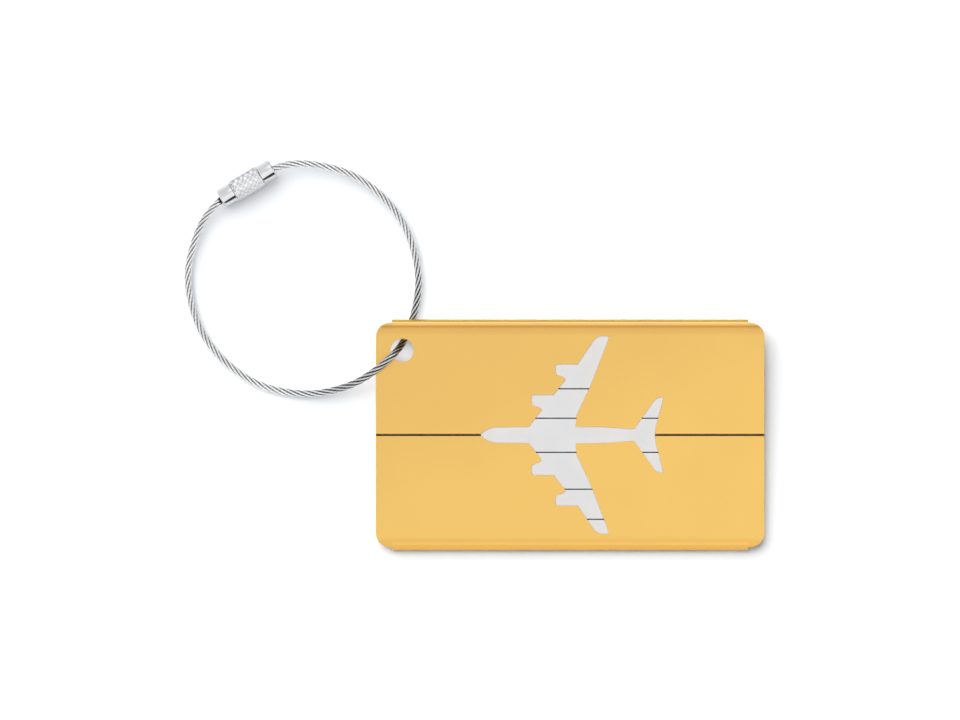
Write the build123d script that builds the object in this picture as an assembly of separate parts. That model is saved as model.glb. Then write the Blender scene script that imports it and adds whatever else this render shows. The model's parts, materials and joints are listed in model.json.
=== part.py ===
from build123d import *
import math
import os

os.makedirs("parts", exist_ok=True)

# Luggage tag: a folded aluminium sheet case with a card inside, on a loop of steel cable.
# Millimetres. Origin at the middle of the case, X along its long side, +Z out of its front.

# Case, one folded sheet
case_length = 80.0
case_height = 47.6
sheet = 0.45
bend_radius = 1.0  # outside of the two long bends, and half the case's thickness
bend_length = 73.4
flap_sink = 0.2  # how far the front flaps lie below the bends' crests
foot_radius = 6.0  # middle line of the long shallow foot where a bend runs down into its flap
corner_radius = 2.9
corner_inset = 0.7  # from the bends' outermost line to the plates' edge beside them
slit_width = 0.35
slit_join = 0.3  # how far the slit runs into the window at each end
cut_past = 1.0  # how far a cutting shape runs past what it cuts
hole_radius = 2.44
hole_x = -34.62
hole_y = 17.41

# Aeroplane window, cut across both flaps; each half is drawn above the slit and mirrored
nose_x = -18.55
tail_x = 17.5
nose_arc = [(nose_x, 0), (-17.3, 1.0), (-15.4, 1.62)]
fuselage_line = [
    nose_arc[-1], (-8.0, 1.72), (6.2, 1.72), (13.0, 1.25), (tail_x, 1.25), (tail_x, 0), (nose_x, 0)
]
wing_tip = [(4.7, 19.2), (5.5, 20.05), (6.7, 20.4)]
wing_line = [
    wing_tip[-1], (8.1, 20.4), (7.75, 19.3), (4.3, 10.3), (1.35, 4.0), (1.15, 1.0),
    (-9.05, 1.0), (1.9, 15.1), wing_tip[0]
]
tailplane_tip = [(17.3, 7.0), (18.0, 7.6), (19.3, 7.75)]
tailplane_line = [
    tailplane_tip[-1], (18.35, 4.2), (17.7, 1.6), (tail_x, 0), (12.3, 0), tailplane_tip[0]
]
engine_line = [(0, 0), (4.5, 0), (4.5, -1.0), (2.2, -3.15), (1.65, -2.65), (0.1, -2.15)]
engine_nose_radius = 0.6
engine_places = [(-8.0, 8.3), (-3.07, 14.6)]  # front upper corner of each engine

# Card
card_length = 78.0
card_height = 44.6
card_thickness = 0.5
card_lift = 0.05
card_corner = 1.5
notch_margin = 0.9  # kept clear round the cable hole

# Cable and its loop
cable_radius = 0.75
split_gap = 0.03
exit_run = 1.2  # straight cable outside each collar
arc_share = 0.45  # of the shorter run beside a corner, taken up by its arc

# Screw connector
barrel_centre = Vector(-66.74, 51.95, -2.2)
barrel_angle = 30.9
barrel_half = 6.3
end_radius = 2.0
nut_radius = 2.3
nut_half = 3.2
face_gap = 0.05
edge_break = 0.25
stud_radius = 1.05
nut_bore = 1.25
stud_tip = -0.6
root_overlap = 0.5  # how far a neck or stud runs into its collar
crimp_depth = 2.8
neck_radius = 1.45
flange_radius = 1.75
flange_back = -1.6
flange_front = -0.95
running_gap = 0.06
mouth_radius = 1.25
mouth_depth = 0.7

barrel_axis = Vector(
    math.cos(math.radians(barrel_angle)),
    math.sin(math.radians(barrel_angle)),
    0,
)


def on_barrel(station):
    """A point on the connector's axis, by its distance from the middle."""
    return barrel_centre + barrel_axis * station


def disc_span(radius, start, end):
    """A cylinder on the connector's axis between two stations."""
    plane = Plane(on_barrel(start), z_dir=barrel_axis)
    return extrude(plane * Circle(radius), amount=end - start)


def around(centre, radius, angle):
    """A point in a flat outline, by its angle in degrees about a centre."""
    turn = math.radians(angle)
    return (
        centre[0] + radius * math.cos(turn),
        centre[1] + radius * math.sin(turn),
    )


# Heights and runs that follow from the case's dimensions
bend_y = case_height / 2 - bend_radius
bend_middle = bend_radius - sheet / 2
foot_turn = math.degrees(math.acos(1 - flap_sink / (bend_middle + foot_radius)))
foot_run = (bend_middle + foot_radius) * math.sin(math.radians(foot_turn))
flap_top = bend_radius - flap_sink
flap_bottom = flap_top - sheet
back_outside = -bend_radius
back_inside = back_outside + sheet


def sheet_curve(offset):
    """One face of the sheet round a bend and down its foot, from the back to the flap."""
    bend_centre = (bend_y, 0)
    foot_centre = (bend_y - foot_run, flap_top - sheet / 2 + foot_radius)
    radius = bend_middle + offset
    foot = foot_radius - offset
    meet = 90 + foot_turn
    round_bend = ThreePointArc(
        around(bend_centre, radius, -90),
        around(bend_centre, radius, 0),
        around(bend_centre, radius, meet),
    )
    down_foot = ThreePointArc(
        around(foot_centre, foot, meet - 180),
        around(foot_centre, foot, meet - 180 - foot_turn / 2),
        around(foot_centre, foot, -90),
    )
    return round_bend, down_foot


def make_bend():
    """The stretch of sheet between the back and the upper flap."""
    outer = sheet_curve(sheet / 2)
    inner = sheet_curve(-sheet / 2)
    closing = [
        Line(outer[0] @ 0, inner[0] @ 0),
        Line(outer[1] @ 1, inner[1] @ 1),
    ]
    section = Plane.YZ * make_face(Curve() + [*outer, *inner, *closing])
    return extrude(section, amount=bend_length / 2, both=True)


def make_plate(low, high, edge_y):
    """A flat plate of the case, whose straight edge between the bends' ends is at edge_y."""
    plate_height = case_height - 2 * corner_inset
    outline = RectangleRounded(case_length, plate_height, corner_radius)
    strip_height = case_height / 2 - edge_y
    strip_y = edge_y + strip_height / 2
    for side in (1, -1):
        outline -= Pos(0, side * strip_y) * Rectangle(bend_length, strip_height)
    return extrude(Pos(0, 0, low) * outline, amount=high - low)


def closed_outline(arc, line):
    """A face bounded by a three-point arc and a line of straight edges."""
    return make_face([*ThreePointArc(*arc).edges(), *Polyline(*line).edges()])


def make_engine(place):
    """An engine that stands out ahead of the wing, with its rounded nose."""
    face = make_face(Polyline(*engine_line, close=True).edges())
    nose = face.vertices().sort_by(Axis.X)[:2]
    return Pos(*place) * fillet(nose, engine_nose_radius)


def make_window():
    """The whole aeroplane, symmetrical about the slit."""
    half = closed_outline(nose_arc, fuselage_line)
    half += closed_outline(wing_tip, wing_line)
    half += closed_outline(tailplane_tip, tailplane_line)
    for place in engine_places:
        half += make_engine(place)
    return half + mirror(half, Plane.XZ)


def make_slit(start, end):
    """The gap between the two flaps, along the case's middle."""
    return Pos((start + end) / 2) * Rectangle(end - start, slit_width)


def make_case():
    bend = make_bend()
    back = make_plate(back_outside, back_inside, bend_y)
    flaps = make_plate(flap_bottom, flap_top, bend_y - foot_run)
    cuts = [
        make_window(),
        make_slit(-case_length / 2 - cut_past, nose_x + slit_join),
        make_slit(tail_x - slit_join, case_length / 2 + cut_past),
    ]
    for cut in cuts:
        flaps -= extrude(cut, amount=bend_radius, both=True)
    case = back + flaps + bend + mirror(bend, Plane.XZ)
    hole = Pos(hole_x, hole_y) * Circle(hole_radius)
    return case - extrude(hole, amount=2 * bend_radius, both=True)


def make_card():
    """A plain card, notched at one corner so that it slides off past the cable."""
    outline = RectangleRounded(card_length, card_height, card_corner)
    reach = hole_radius + notch_margin
    notch_width = hole_x + reach + card_length / 2
    notch_height = card_height / 2 - hole_y + reach
    notch = Rectangle(2 * notch_width, 2 * notch_height)
    notch = fillet(notch.vertices(), card_corner)
    outline -= Pos(-card_length / 2, card_height / 2) * notch
    low = back_inside + card_lift
    return extrude(Pos(0, 0, low) * outline, amount=card_thickness)


# The loop's route, from inside the stud collar, down the right side, back up through the
# case's hole and over its edge, and round the left side into the swivel collar.
barrel_exit = barrel_half + exit_run
crimp_end = barrel_half - crimp_depth
route = [
    tuple(on_barrel(crimp_end)),
    tuple(on_barrel(barrel_exit)),
    (-53.4, 56.3, -2.4),
    (-43.2, 53.6, -2.7),
    (-34.4, 45.0, -2.8),
    (-31.0, 34.2, -2.6),
    (-31.6, 26.3, -2.15),
    (-34.3, 19.1, -2.5),
    (-36.3, 16.5, 2.5),
    (-40.1, 13.1, 1.75),
    (-45.6, 9.8, 0.0),
    (-55.0, 7.9, -1.7),
    (-66.6, 10.7, -1.95),
    (-76.3, 19.9, -2.35),
    (-79.7, 32.2, -2.6),
    (-77.1, 42.4, -2.45),
    tuple(on_barrel(-barrel_exit)),
    tuple(on_barrel(-crimp_end)),
]
split_after = 9  # the loop's two halves part in the middle of the run after this point


def corner_radii(points):
    """The radius of the arc at each corner of the route."""
    radii = []
    for before, here, after in zip(points, points[1:], points[2:]):
        back = Vector(*before) - Vector(*here)
        ahead = Vector(*after) - Vector(*here)
        half_turn = math.radians((180 - back.get_angle(ahead)) / 2)
        radii.append(arc_share * min(back.length, ahead.length) / math.tan(half_turn))
    return radii


def make_tube(points, radii):
    """A plain tube along the route's runs and arcs."""
    path = FilletPolyline(*points, radius=radii)
    plane = Plane(path @ 0, z_dir=path % 0)
    tube = sweep(plane * Circle(cable_radius), path=path)
    expected = math.pi * cable_radius**2 * path.length
    print("tube length", round(path.length, 2))
    print("tube volume", round(tube.volume, 2), "expected", round(expected, 2))
    return tube


def split_route():
    """The two halves of the route, a hair apart in the middle of the run where they part."""
    radii = corner_radii(route)
    print("radii", [round(r, 2) for r in radii])
    first = Vector(*route[split_after])
    second = Vector(*route[split_after + 1])
    middle = (first + second) / 2
    step = (second - first).normalized() * (split_gap / 2)
    hole_side = route[: split_after + 1] + [tuple(middle - step)]
    far_side = [tuple(middle + step)] + route[split_after + 1 :]
    print("parting point", middle)
    return (hole_side, radii[:split_after]), (far_side, radii[split_after:])


def make_stud_collar():
    """The collar pressed on one end of the cable, with the stud at its threads' root."""
    head = disc_span(end_radius, nut_half + face_gap, barrel_half)
    rim = head.edges().filter_by(GeomType.CIRCLE)
    head = chamfer(rim, edge_break)
    stud = disc_span(stud_radius, stud_tip, nut_half + face_gap + root_overlap)
    stud = chamfer(stud.edges().filter_by(GeomType.CIRCLE), edge_break)
    bore = disc_span(cable_radius, crimp_end, barrel_half + cut_past)
    return head + stud - bore


def make_swivel_collar():
    """The collar on the cable's other end, with the neck and flange that carry the nut."""
    body = disc_span(end_radius, -barrel_half, -nut_half - face_gap)
    body = chamfer(body.edges().filter_by(GeomType.CIRCLE), edge_break)
    neck = disc_span(neck_radius, -nut_half - root_overlap, flange_front)
    flange = disc_span(flange_radius, flange_back, flange_front)
    bore = disc_span(cable_radius, -barrel_half - cut_past, -crimp_end)
    mouth = disc_span(mouth_radius, -barrel_half - cut_past, -barrel_half + mouth_depth)
    return body + neck + flange - bore - mouth


def make_nut():
    """The knurled nut: its rear lip turns behind the flange, its bore takes the stud."""
    nut = disc_span(nut_radius, -nut_half, nut_half)
    nut = chamfer(nut.edges().filter_by(GeomType.CIRCLE), edge_break)
    lip = disc_span(neck_radius + running_gap, -nut_half - cut_past, flange_back)
    cavity = disc_span(
        flange_radius + running_gap, flange_back - running_gap, flange_front + running_gap
    )
    bore = disc_span(nut_bore, flange_front, nut_half + cut_past)
    return nut - lip - cavity - bore


hole_side, far_side = split_route()
nodes = {
    "case_shell": make_case(),
    "id_card": make_card(),
    "cable_hole_side": make_tube(*hole_side),
    "cable_far_side": make_tube(*far_side),
    "stud_collar": make_stud_collar(),
    "swivel_collar": make_swivel_collar(),
    "knurled_nut": make_nut(),
}
for name, shape in nodes.items():
    export_step(shape, os.path.join("parts", name + ".step"))
    print(name, "solids", len(shape.solids()), "volume", round(shape.volume, 2))
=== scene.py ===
import bpy
import bmesh
import json
import math
import numpy as np
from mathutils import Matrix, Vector

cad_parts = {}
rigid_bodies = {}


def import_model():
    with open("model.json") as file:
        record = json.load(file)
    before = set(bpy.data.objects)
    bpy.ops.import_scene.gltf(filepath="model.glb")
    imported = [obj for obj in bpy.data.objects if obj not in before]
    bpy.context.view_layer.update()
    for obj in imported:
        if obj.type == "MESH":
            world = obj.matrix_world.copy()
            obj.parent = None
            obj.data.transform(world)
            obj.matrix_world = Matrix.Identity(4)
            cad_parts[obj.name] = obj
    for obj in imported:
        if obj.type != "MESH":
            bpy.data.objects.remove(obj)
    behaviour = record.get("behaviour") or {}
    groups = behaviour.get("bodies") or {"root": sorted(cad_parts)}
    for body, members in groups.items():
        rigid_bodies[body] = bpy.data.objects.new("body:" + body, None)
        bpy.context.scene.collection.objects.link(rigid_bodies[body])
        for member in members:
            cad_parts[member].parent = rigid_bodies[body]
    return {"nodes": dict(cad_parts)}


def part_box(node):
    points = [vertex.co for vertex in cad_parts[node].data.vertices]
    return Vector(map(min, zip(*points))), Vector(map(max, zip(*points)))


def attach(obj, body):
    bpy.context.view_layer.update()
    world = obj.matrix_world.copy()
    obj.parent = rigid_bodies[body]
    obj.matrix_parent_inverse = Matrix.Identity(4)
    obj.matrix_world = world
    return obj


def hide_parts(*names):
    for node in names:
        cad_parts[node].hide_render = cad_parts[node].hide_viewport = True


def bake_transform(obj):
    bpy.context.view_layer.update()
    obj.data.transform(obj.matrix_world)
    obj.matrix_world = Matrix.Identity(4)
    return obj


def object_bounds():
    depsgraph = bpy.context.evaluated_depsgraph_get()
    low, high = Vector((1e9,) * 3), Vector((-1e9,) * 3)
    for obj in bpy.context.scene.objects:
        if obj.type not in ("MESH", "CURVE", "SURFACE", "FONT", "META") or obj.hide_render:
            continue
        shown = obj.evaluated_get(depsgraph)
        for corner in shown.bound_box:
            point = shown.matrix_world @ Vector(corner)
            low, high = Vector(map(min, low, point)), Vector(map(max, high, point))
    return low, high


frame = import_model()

cadLow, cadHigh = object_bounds()
mm = 0.001
scene = bpy.context.scene


def boxMiddle(node):
    low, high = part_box(node)
    return (low + high) / 2


# camera, straight above the tag
cameraSetup = {
    "lens": 135.0,
    "sensor": 36.0,
    "viewWidth": 197.9 * mm,
    "aimOffset": (1.36 * mm, -1.1 * mm),  # from the middle of the whole tag
}


def placeCamera(setup):
    data = bpy.data.cameras.new("mainCamera")
    data.lens = setup["lens"]
    data.sensor_width = setup["sensor"]
    data.clip_start = 0.01
    data.clip_end = 20.0
    camera = bpy.data.objects.new("mainCamera", data)
    middle = (cadLow + cadHigh) / 2
    distance = setup["viewWidth"] * setup["lens"] / setup["sensor"]
    aimX, aimY = setup["aimOffset"]
    camera.location = (middle.x + aimX, middle.y + aimY, distance)
    scene.collection.objects.link(camera)
    scene.camera = camera


placeCamera(cameraSetup)
print("camera placed")


# the screw connector's sizes and directions, along the cable's ends
connector = {
    "angle": math.radians(30.9),
    "halfLength": 6.3 * mm,
    "endRadius": 2.0 * mm,
    "nutRadius": 2.3 * mm,
    "nutHalf": 3.2 * mm,
    "crimpDepth": 2.8 * mm,
    "faceGap": 0.05 * mm,
    "edge": 0.25 * mm,
    "meetingEdge": 0.07 * mm,  # where the nut and a collar face each other
}
barrelMiddle = boxMiddle("knurled_nut")
barrelAxis = Vector((math.cos(connector["angle"]), math.sin(connector["angle"]), 0))
barrelUp = Vector((0, 0, 1))
barrelSide = barrelUp.cross(barrelAxis)
crimpEnd = connector["halfLength"] - connector["crimpDepth"]


def onBarrel(station):
    return barrelMiddle + barrelAxis * station


def meshPiece(name, points, faces, smooth=True):
    mesh = bpy.data.meshes.new(name)
    mesh.from_pydata([tuple(p) for p in points], [], faces)
    mesh.update()
    if smooth:
        mesh.shade_smooth()
    piece = bpy.data.objects.new(name, mesh)
    scene.collection.objects.link(piece)
    return piece


# wire rope
rope = {
    "diameter": 1.5 * mm,
    "length": 145 * mm,
    "strands": 6,
    "wiresPerStrand": 6,
    "coreFill": 0.62,  # the rope's own core, as a part of a strand's distance from it
    "kingFill": 0.7,  # the straight wire inside each strand, as a part of a wire
    "wireFill": 0.52,
    "strandLay": 11.4 * mm,  # one turn of a strand about the rope
    "wireLay": 4.6 * mm,  # one turn of a wire about its strand
    "wireSides": 5,
    "step": 0.31 * mm,
    "exitRun": 1.2 * mm,
    "mouthShade": 0.7 * mm,  # how far a painted shade darkens it outside the swivel collar's mouth
    "mouthReach": 4.5 * mm,
    "nearHoleReach": 26 * mm,  # how far from the case's hole it is made darker
    "nearHoleDarkening": 0.22,
    "nearHoleAbove": -2.4 * mm,
    "valley": 0.44 * mm,  # from the middle of the rope to where two strands touch
    "flexHalf": 3.3 * mm,  # half the stretch that bends when the loop opens
}
barrelExit = connector["halfLength"] + rope["exitRun"]
ropeRoute = [
    onBarrel(crimpEnd),
    onBarrel(barrelExit),
    Vector((-53.4, 56.3, -2.4)) * mm,
    Vector((-43.2, 53.6, -2.7)) * mm,
    Vector((-34.4, 45.0, -2.8)) * mm,
    Vector((-31.0, 34.2, -2.6)) * mm,
    Vector((-31.6, 26.3, -2.15)) * mm,
    Vector((-34.3, 19.1, -2.5)) * mm,
    Vector((-36.3, 16.5, 2.5)) * mm,
    Vector((-40.1, 13.1, 1.75)) * mm,
    Vector((-45.6, 9.8, 0.0)) * mm,
    Vector((-55.0, 7.9, -1.7)) * mm,
    Vector((-66.6, 10.7, -1.95)) * mm,
    Vector((-76.3, 19.9, -2.35)) * mm,
    Vector((-79.7, 32.2, -2.6)) * mm,
    Vector((-77.1, 42.4, -2.45)) * mm,
    onBarrel(-barrelExit),
    onBarrel(-crimpEnd),
]
humpTop = ropeRoute[8]  # where the rope comes up through the case's hole


def splineLine(points):
    # the smooth line that the route's points pull along with them
    curve = bpy.data.curves.new("ropeLine", "CURVE")
    curve.dimensions = "3D"
    curve.resolution_u = 40
    spline = curve.splines.new("NURBS")
    spline.points.add(len(points) - 1)
    for held, point in zip(spline.points, points):
        held.co = (*point, 1)
    spline.order_u = 3
    spline.use_endpoint_u = True
    holder = bpy.data.objects.new("ropeLine", curve)
    mesh = bpy.data.meshes.new_from_object(holder)
    line = np.array([vertex.co for vertex in mesh.vertices], float)
    bpy.data.objects.remove(holder)
    bpy.data.curves.remove(curve)
    bpy.data.meshes.remove(mesh)
    return line


def evenSteps(line, step):
    along = np.concatenate([[0], np.cumsum(np.linalg.norm(np.diff(line, axis=0), axis=1))])
    count = math.ceil(along[-1] / step) + 1
    at = np.linspace(0, along[-1], count)
    return np.stack([np.interp(at, along, line[:, k]) for k in range(3)], axis=1), at


def unit(vectors):
    return vectors / np.linalg.norm(vectors, axis=1, keepdims=True)


def carriedFrames(line):
    # two directions square to the line, carried along it without twisting
    ahead = unit(np.gradient(line, axis=0))
    first = np.cross(ahead[0], (0, 0, 1))
    normals = [first / np.linalg.norm(first)]
    for way in ahead[1:]:
        kept = normals[-1] - way * np.dot(normals[-1], way)
        normals.append(kept / np.linalg.norm(kept))
    normals = np.array(normals)
    return ahead, normals, np.cross(ahead, normals)


def keepValue(piece, name, values):
    # a number kept at each corner of the mesh for its finish to read
    kept = piece.data.attributes.new(name, "FLOAT", "POINT")
    kept.data.foreach_set("value", np.clip(values, 0, 1).astype(np.float32))


def tubeAlong(centres, across, upward, radius, sides, points, faces):
    start = len(points)
    for centre, a, b in zip(centres, across, upward):
        for side in range(sides):
            turn = math.tau * side / sides
            points.append(centre + radius * (a * math.cos(turn) + b * math.sin(turn)))
    rings = len(centres)
    for ring in range(rings - 1):
        for side in range(sides):
            low = start + ring * sides
            after = (side + 1) % sides
            faces.append((low + side, low + after, low + sides + after, low + sides + side))
    faces.append(tuple(start + side for side in reversed(range(sides))))
    faces.append(tuple(start + (rings - 1) * sides + side for side in range(sides)))


def buildRope(setup):
    line, along = evenSteps(splineLine(ropeRoute), setup["step"])
    ahead, across, upward = carriedFrames(line)
    wire = setup["diameter"] / 9  # a strand is three wires across, and the rope three strands
    strandOut = setup["diameter"] / 3
    points, faces = [], []
    tubeAlong(line, across, upward, strandOut * setup["coreFill"], 6, points, faces)
    for strand in range(setup["strands"]):
        turn = math.tau * (along / setup["strandLay"] + strand / setup["strands"])
        outward = across * np.cos(turn)[:, None] + upward * np.sin(turn)[:, None]
        centres = line + strandOut * outward
        strandAhead = unit(np.gradient(centres, axis=0))
        outward = unit(outward - strandAhead * (outward * strandAhead).sum(1)[:, None])
        sideways = np.cross(strandAhead, outward)
        tubeAlong(centres, outward, sideways, wire * setup["kingFill"], 4, points, faces)
        for number in range(setup["wiresPerStrand"]):
            spin = math.tau * (number / setup["wiresPerStrand"] - along / setup["wireLay"])
            away = outward * np.cos(spin)[:, None] + sideways * np.sin(spin)[:, None]
            beside = np.cross(strandAhead, away)
            tubeAlong(
                centres + wire * away, away, beside, wire * setup["wireFill"],
                setup["wireSides"], points, faces,
            )
    piece = meshPiece("wireRope", points, faces)
    # how far each point stands out between the valleys and the tops of the strands; the finish
    # paints shade, with some grime, into the valleys from it
    at = np.array(points)
    nearest = np.concatenate([
        np.linalg.norm(part[:, None] - line[None], axis=2).argmin(1)
        for part in np.array_split(at, 60)
    ])
    offset = at - line[nearest]
    offset -= ahead[nearest] * (offset * ahead[nearest]).sum(1)[:, None]
    standOut = np.linalg.norm(offset, axis=1)
    valley, top = setup["valley"], setup["diameter"] / 2
    # painted shade on the rope just outside the swivel collar's mouth
    mouth = np.array(onBarrel(-connector["halfLength"]))
    fromMouth = (at - mouth) @ np.array(-barrelAxis)
    nearMouth = np.linalg.norm(at - mouth, axis=1) < setup["mouthReach"]
    darkened = np.where(nearMouth, np.clip(1 - fromMouth / setup["mouthShade"], 0, 1), 0)
    # and darker near the case's hole, where it lies above a given height
    fromHole = np.linalg.norm(at[:, :2] - np.array(humpTop[:2]), axis=1)
    nearHole = np.clip(2 * (1 - fromHole / setup["nearHoleReach"]), 0, 1)
    darkened += np.where(at[:, 2] > setup["nearHoleAbove"], setup["nearHoleDarkening"] * nearHole, 0)
    keepValue(piece, "standOut", (standOut - valley) / (top - valley) - darkened)
    print("rope length", round(along[-1], 5), "faces", len(faces))
    return piece, line


wireRope, ropePath = buildRope(rope)
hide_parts("cable_hole_side", "cable_far_side")
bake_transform(wireRope)
print("rope laid up")


# turned metal pieces, as rings about the connector's axis
turning = {
    "sides": 96,
    "creaseFrom": math.radians(32),
    "threadCrease": math.radians(25),
    "threadFoot": 0.46,  # half the thread's width at its foot, in pitches
    "threadTop": 0.08,  # and at its crest
    "threadSink": 0.4,  # how far the foot lies inside the metal, in thread heights
    "threadFade": 2,  # it rises and falls over one half of a turn
    "slightSoft": 0.03 * mm,
    "lipSoft": 0.04 * mm,
    "soft": 0.08 * mm,
    "boreSoft": 0.1 * mm,
}


def softCorners(profile, segments=3):
    # each corner is (station, radius, rounding)
    softened = []
    count = len(profile)
    for i, (station, radius, rounding) in enumerate(profile):
        here = np.array((station, radius))
        if rounding == 0 or i in (0, count - 1):
            softened.append(here)
            continue
        before = np.array(profile[i - 1][:2]) - here
        after = np.array(profile[i + 1][:2]) - here
        start = here + before / np.linalg.norm(before) * rounding
        end = here + after / np.linalg.norm(after) * rounding
        for k in range(segments + 1):
            t = k / segments
            softened.append((1 - t) ** 2 * start + 2 * t * (1 - t) * here + t * t * end)
    return softened


def evenNormals(piece):
    # long faces keep their own direction, and only the small edges between them turn
    steady = piece.modifiers.new("evenNormals", "WEIGHTED_NORMAL")
    steady.mode = "FACE_AREA"
    steady.weight = 100
    steady.keep_sharp = True


def turnedPiece(name, profile, sides, relief=None, closed=False):
    points, faces, rings = [], [], []
    for station, radius in profile:
        if radius < 1e-6:
            rings.append([len(points)])
            points.append(onBarrel(station))
            continue
        ring = []
        for side in range(sides):
            turn = math.tau * side / sides
            r = radius if relief is None else relief(station, radius, turn)
            ring.append(len(points))
            points.append(
                onBarrel(station)
                + barrelSide * (r * math.cos(turn)) + barrelUp * (r * math.sin(turn))
            )
        rings.append(ring)
    pairs = list(zip(rings, rings[1:]))
    if closed:
        pairs.append((rings[-1], rings[0]))
    for low, high in pairs:
        for side in range(sides):
            after = (side + 1) % sides
            if len(low) == 1:
                faces.append((low[0], high[after], high[side]))
            elif len(high) == 1:
                faces.append((low[side], low[after], high[0]))
            else:
                faces.append((low[side], low[after], high[after], high[side]))
    piece = meshPiece(name, points, faces)
    piece.data.set_sharp_from_angle(angle=turning["creaseFrom"])
    return piece


def threadOn(name, start, end, pitch, root, crest, sides=48):
    # a raised thread, wound right-handed, that fades in and out at its ends
    points, faces = [], []
    rise = crest - root
    foot = root - rise * turning["threadSink"]
    atFoot, atTop = turning["threadFoot"], turning["threadTop"]
    turns = (end - start) / pitch
    count = int(turns * sides)
    for i in range(count + 1):
        turn = math.tau * i / sides
        station = start + pitch * i / sides
        nearEnd = min(i, count - i) / sides * turning["threadFade"]
        top = root + rise * min(1, max(nearEnd, 0.02))
        for offset, radius in ((-atFoot, foot), (-atTop, top), (atTop, top), (atFoot, foot)):
            points.append(
                onBarrel(station + offset * pitch)
                + barrelSide * (radius * math.cos(turn)) + barrelUp * (radius * math.sin(turn))
            )
    for i in range(count):
        for k in range(4):
            after = (k + 1) % 4
            faces.append((4 * i + k, 4 * i + 4 + k, 4 * i + 4 + after, 4 * i + after))
    faces.append((0, 1, 2, 3))
    last = 4 * count
    faces.append((last + 3, last + 2, last + 1, last))
    piece = meshPiece(name, points, faces)
    piece.data.set_sharp_from_angle(angle=turning["threadCrease"])
    return piece


def joined(name, pieces):
    whole = bmesh.new()
    for piece in pieces:
        whole.from_mesh(piece.data)
        bpy.data.objects.remove(piece)
    bmesh.ops.recalc_face_normals(whole, faces=whole.faces)
    mesh = bpy.data.meshes.new(name)
    whole.to_mesh(mesh)
    whole.free()
    result = bpy.data.objects.new(name, mesh)
    scene.collection.objects.link(result)
    return result


studCollarParts = {
    "studRadius": 1.03 * mm,
    "crest": 1.2 * mm,
    "pitch": 0.45 * mm,
    "tip": -0.6 * mm,
    "tipBevel": 0.2 * mm,
    "threadMargin": 0.3 * mm,
    "bore": 0.8 * mm,
}


def buildStudCollar(setup, barrel):
    face = barrel["nutHalf"] + barrel["faceGap"]
    soft, slight = turning["soft"], turning["slightSoft"]
    bevel, margin = setup["tipBevel"], setup["threadMargin"]
    profile = softCorners([
        (setup["tip"], 0, 0),
        (setup["tip"], setup["studRadius"] - bevel, slight),
        (setup["tip"] + bevel, setup["studRadius"], slight),
        (face, setup["studRadius"], slight),
        (face, barrel["endRadius"] - barrel["meetingEdge"], slight),
        (face + barrel["meetingEdge"], barrel["endRadius"], slight),
        (barrel["halfLength"] - barrel["edge"], barrel["endRadius"], soft),
        (barrel["halfLength"], barrel["endRadius"] - barrel["edge"], soft),
        (barrel["halfLength"], setup["bore"], turning["boreSoft"]),
        (crimpEnd, setup["bore"], 0),
        (crimpEnd, 0, 0),
    ])
    body = turnedPiece("collarBody", profile, turning["sides"])
    thread = threadOn(
        "studThread", setup["tip"] + margin, face - margin,
        setup["pitch"], setup["studRadius"], setup["crest"],
    )
    return joined("studCollar", [body, thread])


studCollar = buildStudCollar(studCollarParts, connector)
evenNormals(studCollar)
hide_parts("stud_collar")
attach(studCollar, "loop_hole_side")

swivelCollarParts = {
    "neckRadius": 1.45 * mm,
    "flangeRadius": 1.75 * mm,
    "flangeBack": -1.6 * mm,
    "flangeFront": -0.95 * mm,
    "mouthRadius": 1.25 * mm,
    "mouthDepth": 0.7 * mm,
    "bore": 0.8 * mm,
}


def buildSwivelCollar(setup, barrel):
    face = -barrel["nutHalf"] - barrel["faceGap"]
    end = -barrel["halfLength"]
    soft, slight, lip = turning["soft"], turning["slightSoft"], turning["lipSoft"]
    return turnedPiece("swivelCollar", softCorners([
        (-crimpEnd, 0, 0),
        (-crimpEnd, setup["bore"], 0),
        (end + setup["mouthDepth"], setup["bore"], lip),
        (end + setup["mouthDepth"], setup["mouthRadius"], lip),
        (end, setup["mouthRadius"], turning["boreSoft"]),
        (end, barrel["endRadius"] - barrel["edge"], soft),
        (end + barrel["edge"], barrel["endRadius"], soft),
        (face - barrel["meetingEdge"], barrel["endRadius"], slight),
        (face, barrel["endRadius"] - barrel["meetingEdge"], slight),
        (face, setup["neckRadius"], lip),
        (setup["flangeBack"], setup["neckRadius"], slight),
        (setup["flangeBack"], setup["flangeRadius"], lip),
        (setup["flangeFront"], setup["flangeRadius"], lip),
        (setup["flangeFront"], 0, 0),
    ]), turning["sides"])


swivelCollar = buildSwivelCollar(swivelCollarParts, connector)
evenNormals(swivelCollar)
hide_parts("swivel_collar")
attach(swivelCollar, "loop_far_side")

nutParts = {
    "around": 12,  # points of the knurl about the nut
    "knurlDepth": 0.2 * mm,
    "finePerPoint": 20,
    "knurlMargin": 0.12 * mm,
    "knurlFlat": 0.86,  # the points are cut off flat at this part of their height
    "knurlFade": 0.25,  # how soon the knurl reaches its depth from each end, in points
    "edge": 0.07 * mm,
    "endSoft": 0.02 * mm,
    "bore": 1.33 * mm,
    "boreBevel": 0.15 * mm,
    "threadCrest": 1.245 * mm,
    "pitch": 0.45 * mm,
    "lipRadius": 1.51 * mm,
    "cavityRadius": 1.81 * mm,
    "cavityBack": -1.66 * mm,
    "cavityFront": -0.89 * mm,
    "threadStart": 0.3 * mm,
    "threadStop": 0.35 * mm,
}


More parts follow.
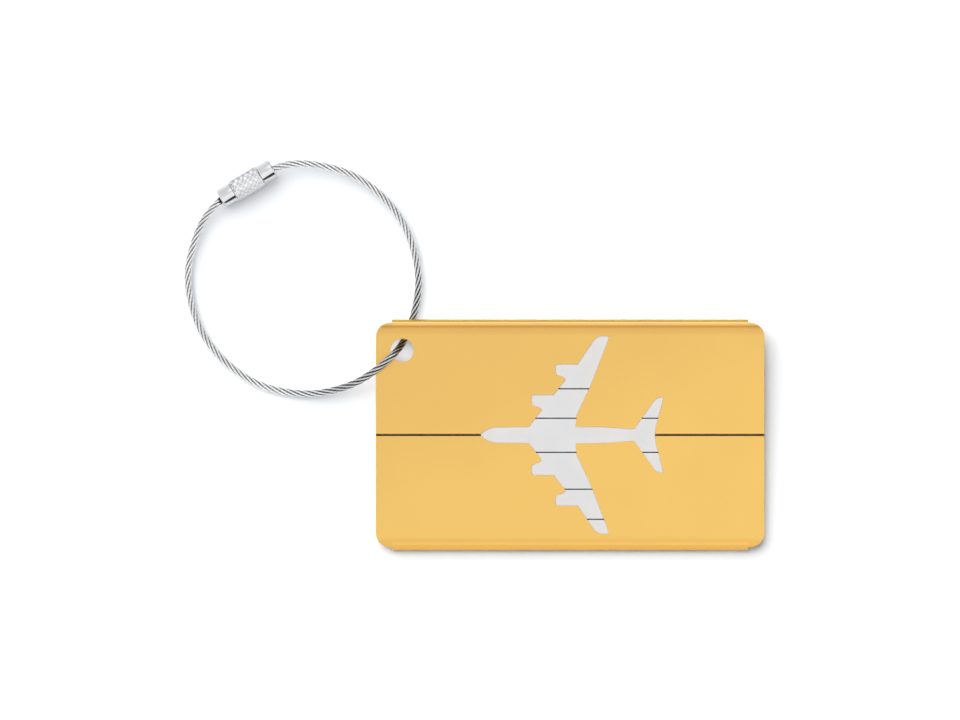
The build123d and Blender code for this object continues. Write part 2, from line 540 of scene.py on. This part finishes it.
def buildNut(setup, barrel):
    half, edge, outer = barrel["nutHalf"], setup["edge"], barrel["nutRadius"]
    point = math.tau * outer / setup["around"]  # a knurl point's width, the same both ways
    reach = half - setup["knurlMargin"]
    steps = round(2 * reach / point * setup["finePerPoint"])

    def knurl(station, radius, turn):
        if radius < outer - 1e-7 or abs(station) > reach:
            return radius
        across = turn * setup["around"] / math.tau
        forward = station / point
        rise = [1 - 2 * abs(v - round(v)) for v in (across + forward, across - forward)]
        fade = min(1, (reach - abs(station)) / (setup["knurlFade"] * point))
        height = min(*rise, setup["knurlFlat"]) / setup["knurlFlat"]
        return radius - setup["knurlDepth"] * (1 - height) * fade

    slight = turning["slightSoft"]
    ends = softCorners([
        (half, setup["bore"], 0),
        (half, outer - edge, slight),
        (half - edge, outer, setup["endSoft"]),
        (reach, outer, 0),
    ])[1:]
    inside = softCorners([
        (-half, outer - edge, 0),
        (-half, setup["lipRadius"], slight),
        (setup["cavityBack"], setup["lipRadius"], 0),
        (setup["cavityBack"], setup["cavityRadius"], 0),
        (setup["cavityFront"], setup["cavityRadius"], 0),
        (setup["cavityFront"], setup["bore"], 0),
        (half - setup["boreBevel"], setup["bore"], 0),
        (half, setup["bore"] + setup["boreBevel"], 0),
    ])[1:]
    knurled = [(reach - 2 * reach * k / steps, outer) for k in range(1, steps)]
    profile = list(ends) + knurled + [(-s, r) for s, r in reversed(ends)] + list(inside)
    body = turnedPiece(
        "nutBody", profile, setup["around"] * setup["finePerPoint"], relief=knurl, closed=True
    )
    thread = threadOn(
        "nutThread", setup["cavityFront"] + setup["threadStart"], half - setup["threadStop"],
        setup["pitch"], setup["bore"], setup["threadCrest"],
    )
    return joined("knurledNut", [body, thread])


knurledNut = buildNut(nutParts, connector)
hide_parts("knurled_nut")
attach(knurledNut, "nut")
print("connector turned")


# folded sheet case and its card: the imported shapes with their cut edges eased
caseSheet = {
    "edgeEase": 0.03 * mm,
    "body": "case",
    "hole": (-34.62 * mm, 17.41 * mm, 2.44 * mm),  # x, y and radius
}
nameCard = {"edgeEase": 0.03 * mm, "body": "card"}
easing = {
    "weldWithin": 1e-7,
    "flatWithin": math.radians(0.5),
    "edgeFrom": math.radians(40),
    "segments": 2,
}


def easedCopy(name, node, setup):
    shape = bmesh.new()
    shape.from_mesh(frame["nodes"][node].data)
    bmesh.ops.remove_doubles(shape, verts=shape.verts, dist=easing["weldWithin"])
    bmesh.ops.dissolve_limit(
        shape, angle_limit=easing["flatWithin"], verts=shape.verts, edges=shape.edges
    )
    mesh = bpy.data.meshes.new(name)
    shape.to_mesh(mesh)
    shape.free()
    mesh.shade_smooth()
    piece = bpy.data.objects.new(name, mesh)
    scene.collection.objects.link(piece)
    bevel = piece.modifiers.new("easedEdges", "BEVEL")
    bevel.limit_method = "ANGLE"
    bevel.angle_limit = easing["edgeFrom"]
    bevel.width = setup["edgeEase"]
    bevel.segments = easing["segments"]
    bevel.material = 1  # the cut edges have a finish of their own
    bevel.harden_normals = False
    evenNormals(piece)
    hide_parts(node)
    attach(piece, setup["body"])
    return piece


foldedCase = easedCopy("foldedCase", "case_shell", caseSheet)
card = easedCopy("nameCard", "id_card", nameCard)

# the slit's edges are pressed down a little, so its walls lean together below; the lips are nearly
# black, as painted shade in the slit
slitLips = {
    # a thin band along the flaps' top that carries the slit's painted shade out over their edge
    "shadeBand": 0.05 * mm,
    "shadeBandHeight": 0.006 * mm,
    "bottom": 0.1 * mm,
    "openHalf": 0.015 * mm,
    "thickness": 0.04 * mm,  # at the lips' lower end
    "overEdge": 0.01 * mm,  # how far they reach over the slit's wall
    "underTop": 0.02 * mm,
    "lap": 0.012 * mm,
    "back": 0.3 * mm,
}


def buildLips(setup):
    low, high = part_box("case_shell")
    corners = [vertex.co for vertex in frame["nodes"]["case_shell"].data.vertices]
    slitHalf = min(abs(v.y) for v in corners if v.z > high.z * 0.6)  # on the flaps' top
    onSlit = [v for v in corners if v.z > 0 and abs(abs(v.y) - slitHalf) < 0.01 * mm]
    flapTop = max(v.z for v in onSlit)
    flapBottom = min(v.z for v in onSlit)
    noseEnd = max(v.x for v in onSlit if v.x < 0)
    tailEnd = min(v.x for v in onSlit if v.x > 0)
    section = [
        (slitHalf + setup["shadeBand"], flapTop - setup["underTop"]),
        (slitHalf + setup["shadeBand"], flapTop + setup["shadeBandHeight"]),
        (slitHalf - setup["overEdge"], flapTop + setup["shadeBandHeight"]),
        (setup["openHalf"], setup["bottom"]),
        (setup["openHalf"] + setup["thickness"], setup["bottom"]),
        (slitHalf + setup["back"], flapBottom + setup["lap"]),
        (slitHalf + setup["lap"], flapBottom + setup["lap"]),
    ]
    points, faces = [], []
    for start, end in ((low.x, noseEnd), (tailEnd, high.x)):
        for side in (-1, 1):
            first = len(points)
            for x in (start, end):
                points += [(x, side * y, z) for y, z in section]
            count = len(section)
            faces.append(tuple(first + k for k in range(count)))
            faces.append(tuple(first + count + k for k in reversed(range(count))))
            for k in range(count):
                after = (k + 1) % count
                faces.append((first + k, first + count + k, first + count + after, first + after))
    shape = bmesh.new()
    lips = meshPiece("slitLips", points, faces, smooth=False)
    shape.from_mesh(lips.data)
    bmesh.ops.recalc_face_normals(shape, faces=shape.faces)
    shape.to_mesh(lips.data)
    shape.free()
    return lips


pressedLips = buildLips(slitLips)
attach(pressedLips, caseSheet["body"])

cardRules = {
    "heights": (9.5 * mm, 3.43 * mm, -3.6 * mm, -11.2 * mm, -17.4 * mm),
    "left": -29.0 * mm,
    "right": 35.0 * mm,
    "width": 0.25 * mm,
    "ink": 0.012 * mm,
}


def buildRules(setup):
    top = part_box("id_card")[1].z
    points, faces = [], []
    for y in setup["heights"]:
        start = len(points)
        for z in (top, top + setup["ink"]):
            for x, side in (
                (setup["left"], -1), (setup["right"], -1), (setup["right"], 1), (setup["left"], 1)
            ):
                points.append((x, y + side * setup["width"] / 2, z))
        ring = [start, start + 1, start + 2, start + 3]
        lid = [v + 4 for v in ring]
        faces.append(tuple(reversed(ring)))
        faces.append(tuple(lid))
        for k in range(4):
            after = (k + 1) % 4
            faces.append((ring[k], ring[after], lid[after], lid[k]))
    return meshPiece("cardRules", points, faces, smooth=False)


ruledLines = buildRules(cardRules)
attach(ruledLines, "card")
print("case and card made")


# effects that several finishes share
def socketsOf(group, inputs, outputs):
    for name, kind, value in inputs:
        made = group.interface.new_socket(name=name, in_out="INPUT", socket_type=kind)
        made.default_value = value
    for name, kind in outputs:
        group.interface.new_socket(name=name, in_out="OUTPUT", socket_type=kind)


def addNode(tree, kind, settings=None, values=None):
    node = tree.nodes.new(kind)
    for key, value in (settings or {}).items():
        setattr(node, key, value)
    for key, value in (values or {}).items():
        node.inputs[key].default_value = value
    return node


def buildGrainGroup():
    # a fine even grain and a slower patchiness, in the piece's own metres
    group = bpy.data.node_groups.new("fineGrain", "ShaderNodeTree")
    socketsOf(
        group,
        [
            ("Grain Size", "NodeSocketFloat", 0.1 * mm),
            ("Stretch", "NodeSocketVector", (1, 1, 1)),
            ("Patch Size", "NodeSocketFloat", 8 * mm),
        ],
        [("Grain", "NodeSocketFloat"), ("Patches", "NodeSocketFloat")],
    )
    start = addNode(group, "NodeGroupInput")
    end = addNode(group, "NodeGroupOutput")
    place = addNode(group, "ShaderNodeTexCoord")
    stretched = addNode(group, "ShaderNodeVectorMath", {"operation": "DIVIDE"})
    fineScale = addNode(group, "ShaderNodeMath", {"operation": "DIVIDE"}, {0: 1.0})
    patchScale = addNode(group, "ShaderNodeMath", {"operation": "DIVIDE"}, {0: 1.0})
    fine = addNode(group, "ShaderNodeTexNoise", None, {"Detail": 2.0, "Roughness": 0.6})
    patches = addNode(group, "ShaderNodeTexNoise", None, {"Detail": 3.0, "Roughness": 0.5})
    link = group.links.new
    link(place.outputs["Object"], stretched.inputs[0])
    link(start.outputs["Stretch"], stretched.inputs[1])
    link(start.outputs["Grain Size"], fineScale.inputs[1])
    link(start.outputs["Patch Size"], patchScale.inputs[1])
    link(stretched.outputs[0], fine.inputs["Vector"])
    link(fineScale.outputs[0], fine.inputs["Scale"])
    link(place.outputs["Object"], patches.inputs["Vector"])
    link(patchScale.outputs[0], patches.inputs["Scale"])
    link(fine.outputs[0], end.inputs["Grain"])
    link(patches.outputs[0], end.inputs["Patches"])
    return group


def buildSpreadGroup():
    # turns a mask into a roughness or brightness between two ends
    group = bpy.data.node_groups.new("maskSpread", "ShaderNodeTree")
    socketsOf(
        group,
        [
            ("Mask", "NodeSocketFloat", 0.5),
            ("Low", "NodeSocketFloat", 0.2),
            ("High", "NodeSocketFloat", 0.4),
        ],
        [("Value", "NodeSocketFloat")],
    )
    start = addNode(group, "NodeGroupInput")
    end = addNode(group, "NodeGroupOutput")
    # a noise texture's values lie mostly between these two
    spread = addNode(group, "ShaderNodeMapRange", None, {"From Min": 0.3, "From Max": 0.7})
    link = group.links.new
    link(start.outputs["Mask"], spread.inputs["Value"])
    link(start.outputs["Low"], spread.inputs["To Min"])
    link(start.outputs["High"], spread.inputs["To Max"])
    link(spread.outputs[0], end.inputs["Value"])
    return group


def setStops(ramp, stops):
    elements = ramp.color_ramp.elements
    while len(elements) < len(stops):
        elements.new(0.5)
    for element, (position, level) in zip(elements, stops):
        element.position = position
        element.color = (level, level, level, 1)


# how strong the painted shade beside each bend is: (distance from the edge in mm, strength)
paintedBendShades = {
    "width": 4,
    "far": [(0, 0.1), (0.5, 0), (1.15, 0), (1.35, 1.0), (1.6, 0.8), (1.9, 0.4), (3.4, 0.0)],
    "near": [(0, 1.0), (0.5, 1.0), (0.9, 0.8), (1.2, 0.6), (1.8, 0.55), (2.8, 0.0)],
}


def buildBendShadeGroup():
    # painted shade and reflection: the colour is darker beside the two long bends, in a line below
    # the far bend and along the near bend
    group = bpy.data.node_groups.new("paintedBendShade", "ShaderNodeTree")
    socketsOf(
        group,
        [
            ("Far Edge", "NodeSocketFloat", 0.0),
            ("Near Edge", "NodeSocketFloat", 0.0),
            ("Width", "NodeSocketFloat", paintedBendShades["width"] * mm),
        ],
        [("Far Bend", "NodeSocketFloat"), ("Near Bend", "NodeSocketFloat")],
    )
    start = addNode(group, "NodeGroupInput")
    end = addNode(group, "NodeGroupOutput")
    link = group.links.new
    place = addNode(group, "ShaderNodeTexCoord")
    split = addNode(group, "ShaderNodeSeparateXYZ")
    link(place.outputs["Object"], split.inputs[0])
    for name, edge, stops in (
        ("Far Bend", "Far Edge", paintedBendShades["far"]),
        ("Near Bend", "Near Edge", paintedBendShades["near"]),
    ):
        inward = addNode(group, "ShaderNodeMath", {"operation": "SUBTRACT"})
        link(split.outputs["Y"], inward.inputs[0])
        link(start.outputs[edge], inward.inputs[1])
        size = addNode(group, "ShaderNodeMath", {"operation": "ABSOLUTE"})
        link(inward.outputs[0], size.inputs[0])
        part = addNode(group, "ShaderNodeMath", {"operation": "DIVIDE"})
        link(size.outputs[0], part.inputs[0])
        link(start.outputs["Width"], part.inputs[1])
        ramp = addNode(group, "ShaderNodeValToRGB")
        link(part.outputs[0], ramp.inputs[0])
        setStops(ramp, [(at / paintedBendShades["width"], level) for at, level in stops])
        link(ramp.outputs[0], end.inputs[name])
    return group


grainGroup = buildGrainGroup()
spreadGroup = buildSpreadGroup()
bendShadeGroup = buildBendShadeGroup()


def groupNode(tree, group, values=None):
    node = tree.nodes.new("ShaderNodeGroup")
    node.node_tree = group
    for key, value in (values or {}).items():
        node.inputs[key].default_value = value
    return node


def makeFinish(name, setup):
    material = bpy.data.materials.new(name)
    material.use_nodes = True
    tree = material.node_tree
    tree.nodes.clear()
    link = tree.links.new
    output = addNode(tree, "ShaderNodeOutputMaterial")
    shader = addNode(tree, "ShaderNodeBsdfPrincipled", None, setup.get("shader"))
    link(shader.outputs[0], output.inputs["Surface"])
    grain = groupNode(tree, grainGroup, {
        "Grain Size": setup["grainSize"],
        "Stretch": setup["stretch"],
        "Patch Size": setup["patchSize"],
    })
    # colour wanders between two tones with the patches, and a little with the grain
    tone = groupNode(tree, spreadGroup, {"Low": 0.0, "High": 1.0})
    link(grain.outputs["Patches"], tone.inputs["Mask"])
    toneMask = tone.outputs[0]
    if "shadeDrift" in setup:
        # and a painted shade drifts over the whole sheet, lighter toward +x and -y
        drift = setup["shadeDrift"]
        place = addNode(tree, "ShaderNodeTexCoord")
        across = addNode(tree, "ShaderNodeVectorMath", {"operation": "DOT_PRODUCT"})
        across.inputs[1].default_value = (*drift["perMetre"], 0)
        link(place.outputs["Object"], across.inputs[0])
        moved = addNode(tree, "ShaderNodeMath", {"operation": "ADD"}, {1: drift["middle"]})
        link(across.outputs["Value"], moved.inputs[0])
        held = addNode(tree, "ShaderNodeMapRange", None, {
            "From Max": drift["full"], "To Min": drift["least"], "To Max": 1.0
        })
        link(moved.outputs[0], held.inputs["Value"])
        lean = addNode(tree, "ShaderNodeMix", {"data_type": "FLOAT"}, {0: drift["share"]})
        link(toneMask, lean.inputs[2])
        link(held.outputs[0], lean.inputs[3])
        toneMask = lean.outputs[0]
    colour = addNode(tree, "ShaderNodeMix", {"data_type": "RGBA"})
    colour.inputs[6].default_value = (*setup["darkTone"], 1)
    colour.inputs[7].default_value = (*setup["lightTone"], 1)
    link(toneMask, colour.inputs[0])
    speck = groupNode(tree, spreadGroup, {"Low": 1 - setup["speck"], "High": 1.0})
    link(grain.outputs["Grain"], speck.inputs["Mask"])
    specked = addNode(tree, "ShaderNodeVectorMath", {"operation": "SCALE"})
    link(colour.outputs[2], specked.inputs[0])
    link(speck.outputs[0], specked.inputs["Scale"])
    base = specked.outputs[0]
    # painted shade and reflection beside the two long bends
    if "farBendShadeColour" in setup:
        low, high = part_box("case_shell")
        bends = groupNode(tree, bendShadeGroup, {
            "Far Edge": high.y, "Near Edge": low.y, "Width": paintedBendShades["width"] * mm
        })
        for mask, shade in (("Far Bend", "farBendShadeColour"), ("Near Bend", "nearBendShadeColour")):
            bendShaded = addNode(
                tree, "ShaderNodeMix", {"data_type": "RGBA", "blend_type": "MULTIPLY"}
            )
            link(bends.outputs[mask], bendShaded.inputs[0])
            link(base, bendShaded.inputs[6])
            bendShaded.inputs[7].default_value = (*setup[shade], 1)
            base = bendShaded.outputs[2]
    # painted shade, with some grime, in the valleys between the strands
    if "valleyGrimeAndShadeColour" in setup:
        stand = addNode(tree, "ShaderNodeAttribute", {"attribute_name": "standOut"})
        outOfValley = addNode(tree, "ShaderNodeMapRange", {"interpolation_type": "SMOOTHSTEP"}, {
            "From Min": setup["valleyFrom"], "From Max": setup["valleyTo"]
        })
        link(stand.outputs["Fac"], outOfValley.inputs["Value"])
        grimeAndShade = addNode(tree, "ShaderNodeMix", {"data_type": "RGBA"})
        link(outOfValley.outputs[0], grimeAndShade.inputs[0])
        grimeAndShade.inputs[6].default_value = (*setup["valleyGrimeAndShadeColour"], 1)
        link(base, grimeAndShade.inputs[7])
        base = grimeAndShade.outputs[2]
    link(base, shader.inputs["Base Color"])
    low, high = setup["roughness"]
    rough = groupNode(tree, spreadGroup, {"Low": low, "High": high})
    link(grain.outputs["Grain"], rough.inputs["Mask"])
    link(rough.outputs[0], shader.inputs["Roughness"])
    bump = addNode(tree, "ShaderNodeBump", None, {
        "Strength": setup["bumpStrength"], "Distance": setup["bumpDepth"]
    })
    link(grain.outputs["Grain"], bump.inputs["Height"])
    link(bump.outputs[0], shader.inputs["Normal"])
    return material


finishes = {
    "satinGold": {
        "shader": {"Metallic": 1.0},
        "darkTone": (0.742, 0.462, 0.134),
        "lightTone": (0.795, 0.508, 0.141),
        # painted shade across the sheet: lighter toward +x and -y
        "shadeDrift": {
            "perMetre": (14.5, -42.0), "middle": 0.5, "full": 0.6, "least": 0.1, "share": 0.7
        },
        # painted shade and reflection beside the far and near bends
        "farBendShadeColour": (0.66, 0.53, 0.46),
        "nearBendShadeColour": (0.90, 0.80, 0.68),
        "speck": 0.03,
        "roughness": (0.27, 0.33),
        "grainSize": 0.09 * mm,
        "stretch": (2.5, 1, 1),
        "patchSize": 14 * mm,
        "bumpStrength": 0.35,
        "bumpDepth": 0.004 * mm,
    },
    "cutGold": {
        "shader": {"Metallic": 1.0},
        "darkTone": (0.74, 0.45, 0.13),
        "lightTone": (0.84, 0.56, 0.20),
        "speck": 0.08,
        "roughness": (0.3, 0.42),
        "grainSize": 0.05 * mm,
        "stretch": (1, 1, 4),
        "patchSize": 3 * mm,
        "bumpStrength": 0.5,
        "bumpDepth": 0.004 * mm,
    },
    # nearly black: painted shade on the slit's walls
    "slitShade": {
        "shader": {"Metallic": 1.0},
        "darkTone": (0.10, 0.035, 0.012),
        "lightTone": (0.15, 0.06, 0.02),
        "speck": 0.1,
        "roughness": (0.4, 0.5),
        "grainSize": 0.05 * mm,
        "stretch": (4, 1, 1),
        "patchSize": 4 * mm,
        "bumpStrength": 0.4,
        "bumpDepth": 0.004 * mm,
    },
    "cardStock": {
        "shader": {"Metallic": 0.0, "Specular IOR Level": 0.25},
        "darkTone": (0.615, 0.615, 0.62),
        "lightTone": (0.64, 0.64, 0.645),
        "speck": 0.04,
        "roughness": (0.6, 0.75),
        "grainSize": 0.12 * mm,
        "stretch": (2, 1, 1),
        "patchSize": 6 * mm,
        "bumpStrength": 0.4,
        "bumpDepth": 0.01 * mm,
    },
    "printedInk": {
        "shader": {"Metallic": 0.0, "Specular IOR Level": 0.3},
        "darkTone": (0.02, 0.02, 0.025),
        "lightTone": (0.05, 0.05, 0.055),
        "speck": 0.3,
        "roughness": (0.45, 0.6),
        "grainSize": 0.1 * mm,
        "stretch": (1, 1, 1),
        "patchSize": 2 * mm,
        "bumpStrength": 0.3,
        "bumpDepth": 0.004 * mm,
    },
    "ropeSteel": {
        "shader": {"Metallic": 1.0},
        "darkTone": (0.88, 0.88, 0.885),
        "lightTone": (0.96, 0.96, 0.965),
        # painted shade, with some grime, in the valleys between the strands
        "valleyGrimeAndShadeColour": (0.05, 0.05, 0.053),
        "valleyFrom": 0.32,
        "valleyTo": 0.80,
        "speck": 0.08,
        "roughness": (0.2, 0.3),
        "grainSize": 0.04 * mm,
        "stretch": (1, 1, 1),
        "patchSize": 5 * mm,
        "bumpStrength": 0.25,
        "bumpDepth": 0.002 * mm,
    },
    "brightPlate": {
        "shader": {"Metallic": 1.0},
        "darkTone": (0.66, 0.66, 0.67),
        "lightTone": (0.70, 0.70, 0.71),
        "speck": 0.02,
        "roughness": (0.07, 0.13),
        "grainSize": 0.05 * mm,
        "stretch": (1, 1, 1),
        "patchSize": 2 * mm,
        "bumpStrength": 0.15,
        "bumpDepth": 0.002 * mm,
    },
    "knurlPlate": {
        "shader": {"Metallic": 1.0},
        "darkTone": (0.64, 0.64, 0.65),
        "lightTone": (0.70, 0.70, 0.71),
        "speck": 0.05,
        "roughness": (0.12, 0.2),
        "grainSize": 0.05 * mm,
        "stretch": (1, 1, 1),
        "patchSize": 1.5 * mm,
        "bumpStrength": 0.2,
        "bumpDepth": 0.003 * mm,
    },
    "studioPaper": {
        "shader": {"Metallic": 0.0, "Specular IOR Level": 0.1},
        "darkTone": (0.88, 0.90, 0.92),
        "lightTone": (0.90, 0.92, 0.94),
        "speck": 0.01,
        "roughness": (0.85, 0.95),
        "grainSize": 0.4 * mm,
        "stretch": (1, 1, 1),
        "patchSize": 30 * mm,
        "bumpStrength": 0.1,
        "bumpDepth": 0.01 * mm,
    },
}
made = {name: makeFinish(name, setup) for name, setup in finishes.items()}

for piece, names in (
    (foldedCase, ("satinGold", "cutGold")),  # the sheet's faces and its cut edges
    (card, ("cardStock", "cardStock")),
    (pressedLips, ("slitShade",)),
    (ruledLines, ("printedInk",)),
    (wireRope, ("ropeSteel",)),
    (studCollar, ("brightPlate",)),
    (swivelCollar, ("brightPlate",)),
    (knurledNut, ("knurlPlate",)),
):
    for name in names:
        piece.data.materials.append(made[name])
print("finishes given")


# floor: a flat board that the case's lower edge and the loop rest on
floorSetup = {
    "size": 8.0,
    "gap": 0.02 * mm,
    "edgeInset": 1.0 * mm,  # from the case's side to where its back is flat
    "resting": ("cable_hole_side", "cable_far_side", "knurled_nut", "stud_collar", "swivel_collar"),
}


def buildFloor(setup):
    caseLow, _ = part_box("case_shell")
    edgeY, edgeZ = caseLow.y + setup["edgeInset"], caseLow.z
    slope = 0.0
    for node in setup["resting"]:
        for vertex in frame["nodes"][node].data.vertices:
            _, y, z = vertex.co
            slope = min(slope, (z - edgeZ) / (y - edgeY))
    half = setup["size"] / 2
    points = []
    for x, y in ((-half, -half), (half, -half), (half, half), (-half, half)):
        points.append((x, y, edgeZ - setup["gap"] + slope * (y - edgeY)))
    floor = meshPiece("studioFloor", points, [(0, 1, 2, 3)], smooth=False)
    floor.data.materials.append(made["studioPaper"])
    print("floor slope", round(math.degrees(math.atan(slope)), 2), "degrees")


buildFloor(floorSetup)


# light: a soft bright surround that the metal reflects, and soft lamps for paper and floor
studio = {
    "acrossBarrel": (0.514, -0.858, 0.0),
    "leftLevel": 0.96,
    "rightLevel": 1.22,
    "levelChange": (-0.16, 0.06),  # between these cosines one level turns into the other
    "patches": [
        # direction, cosine where it starts, cosine where it is full, level
        ((0.552, -0.760, 0.342), 0.93, 0.975, 0.05),
        ((0.11, 0.63, 0.77), 0.88, 0.975, 1.75),
        ((0.68, 0.68, 0.25), 0.86, 0.96, 0.12),
        ((0.0, 1.0, 0.0), 0.85, 0.975, 0.55),
    ],
    "lampReceivers": {
        "keyLamp": "studioFloor", "fillLamp": "studioFloor", "cardLamp": "nameCard"
    },
    "lampBlockers": {"fillLamp": ("foldedCase", "nameCard")},
    "holeGlow": 5.8e-5,  # light that comes down through the cable hole
    "holeGlowShift": (-0.6 * mm, 0.6 * mm),
    "holeGlowColour": (0.92, 0.97, 1.06),
    "holeGlowSize": 1.3,  # across, in radii of the hole
    "paperLevel": (0.108, 0.109, 0.112),  # what dull surfaces get from the surround
    "lamps": [
        # name, direction it comes from, strength, how wide it looks, colour
        ("keyLamp", (-0.420, 0.600, 0.680), 0.9, math.radians(60), (1.0, 1.0, 1.0)),
        ("fillLamp", (-0.420, 0.600, 0.680), 3.3, math.radians(76), (1.0, 1.0, 1.0)),
        ("topLamp", (-0.03, 0.05, 1.0), 0.56, math.radians(20), (1.0, 1.0, 1.0)),
        ("cardLamp", (-0.03, 0.05, 1.0), 2.86, math.radians(24), (1.0, 1.0, 1.0)),
    ],
}


def buildSurround(setup):
    world = bpy.data.worlds.new("studioSurround")
    scene.world = world
    world.use_nodes = True
    tree = world.node_tree
    tree.nodes.clear()
    link = tree.links.new
    output = addNode(tree, "ShaderNodeOutputWorld")
    place = addNode(tree, "ShaderNodeTexCoord")

    def facing(direction):
        toward = addNode(tree, "ShaderNodeVectorMath", {"operation": "DOT_PRODUCT"})
        link(place.outputs["Generated"], toward.inputs[0])
        toward.inputs[1].default_value = Vector(direction).normalized()
        return toward.outputs["Value"]

    level = addNode(tree, "ShaderNodeMapRange", {"interpolation_type": "SMOOTHSTEP"}, {
        "From Min": setup["levelChange"][0], "From Max": setup["levelChange"][1],
        "To Min": setup["leftLevel"], "To Max": setup["rightLevel"],
    })
    link(facing(setup["acrossBarrel"]), level.inputs["Value"])
    surround = level.outputs[0]
    for direction, start, full, patchLevel in setup["patches"]:
        share = addNode(tree, "ShaderNodeMapRange", {"interpolation_type": "SMOOTHSTEP"}, {
            "From Min": start, "From Max": full
        })
        link(facing(direction), share.inputs["Value"])
        blended = addNode(tree, "ShaderNodeMix", {"data_type": "FLOAT"})
        link(share.outputs[0], blended.inputs[0])
        link(surround, blended.inputs[2])
        blended.inputs[3].default_value = patchLevel
        surround = blended.outputs[0]
    way = addNode(tree, "ShaderNodeLightPath")
    mirrored = addNode(tree, "ShaderNodeBackground")
    link(surround, mirrored.inputs["Color"])
    shade = mirrored
    for ray, colour in (("Is Diffuse Ray", setup["paperLevel"]), ("Is Camera Ray", (1, 1, 1))):
        plain = addNode(tree, "ShaderNodeBackground", None, {"Color": (*colour, 1)})
        chosen = addNode(tree, "ShaderNodeMixShader")
        link(way.outputs[ray], chosen.inputs[0])
        link(shade.outputs[0], chosen.inputs[1])
        link(plain.outputs[0], chosen.inputs[2])
        shade = chosen
    link(shade.outputs[0], output.inputs["Surface"])


def hangLamps(setup):
    for name, direction, strength, width, colour in setup["lamps"]:
        light = bpy.data.lights.new(name, "SUN")
        light.energy = strength
        light.angle = width
        light.color = colour
        lamp = bpy.data.objects.new(name, light)
        lamp.rotation_mode = "QUATERNION"
        lamp.rotation_quaternion = Vector(direction).to_track_quat("Z", "Y")
        lamp.visible_glossy = False
        scene.collection.objects.link(lamp)
        if name in setup["lampReceivers"]:
            # it lights one surface only
            receivers = bpy.data.collections.new(name + "Receivers")
            receivers.objects.link(bpy.data.objects[setup["lampReceivers"][name]])
            lamp.light_linking.receiver_collection = receivers
        if name in setup["lampBlockers"]:
            # only these cast its shadow, so the loop's stays pale
            blockers = bpy.data.collections.new(name + "Blockers")
            for blocker in setup["lampBlockers"][name]:
                blockers.objects.link(bpy.data.objects[blocker])
            lamp.light_linking.blocker_collection = blockers


def lightHole(setup):
    low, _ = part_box("case_shell")
    centreX, centreY, radius = caseSheet["hole"]
    light = bpy.data.lights.new("holeGlow", "AREA")
    light.shape = "DISK"
    light.size = setup["holeGlowSize"] * radius
    light.energy = setup["holeGlow"]
    light.color = setup["holeGlowColour"]
    shiftX, shiftY = setup["holeGlowShift"]
    lamp = bpy.data.objects.new("holeGlow", light)
    lamp.location = (centreX + shiftX, centreY + shiftY, low.z)
    lamp.visible_glossy = False
    lamp.visible_camera = False
    scene.collection.objects.link(lamp)


buildSurround(studio)
hangLamps(studio)
lightHole(studio)
scene.view_settings.view_transform = "Standard"
print("lights on")
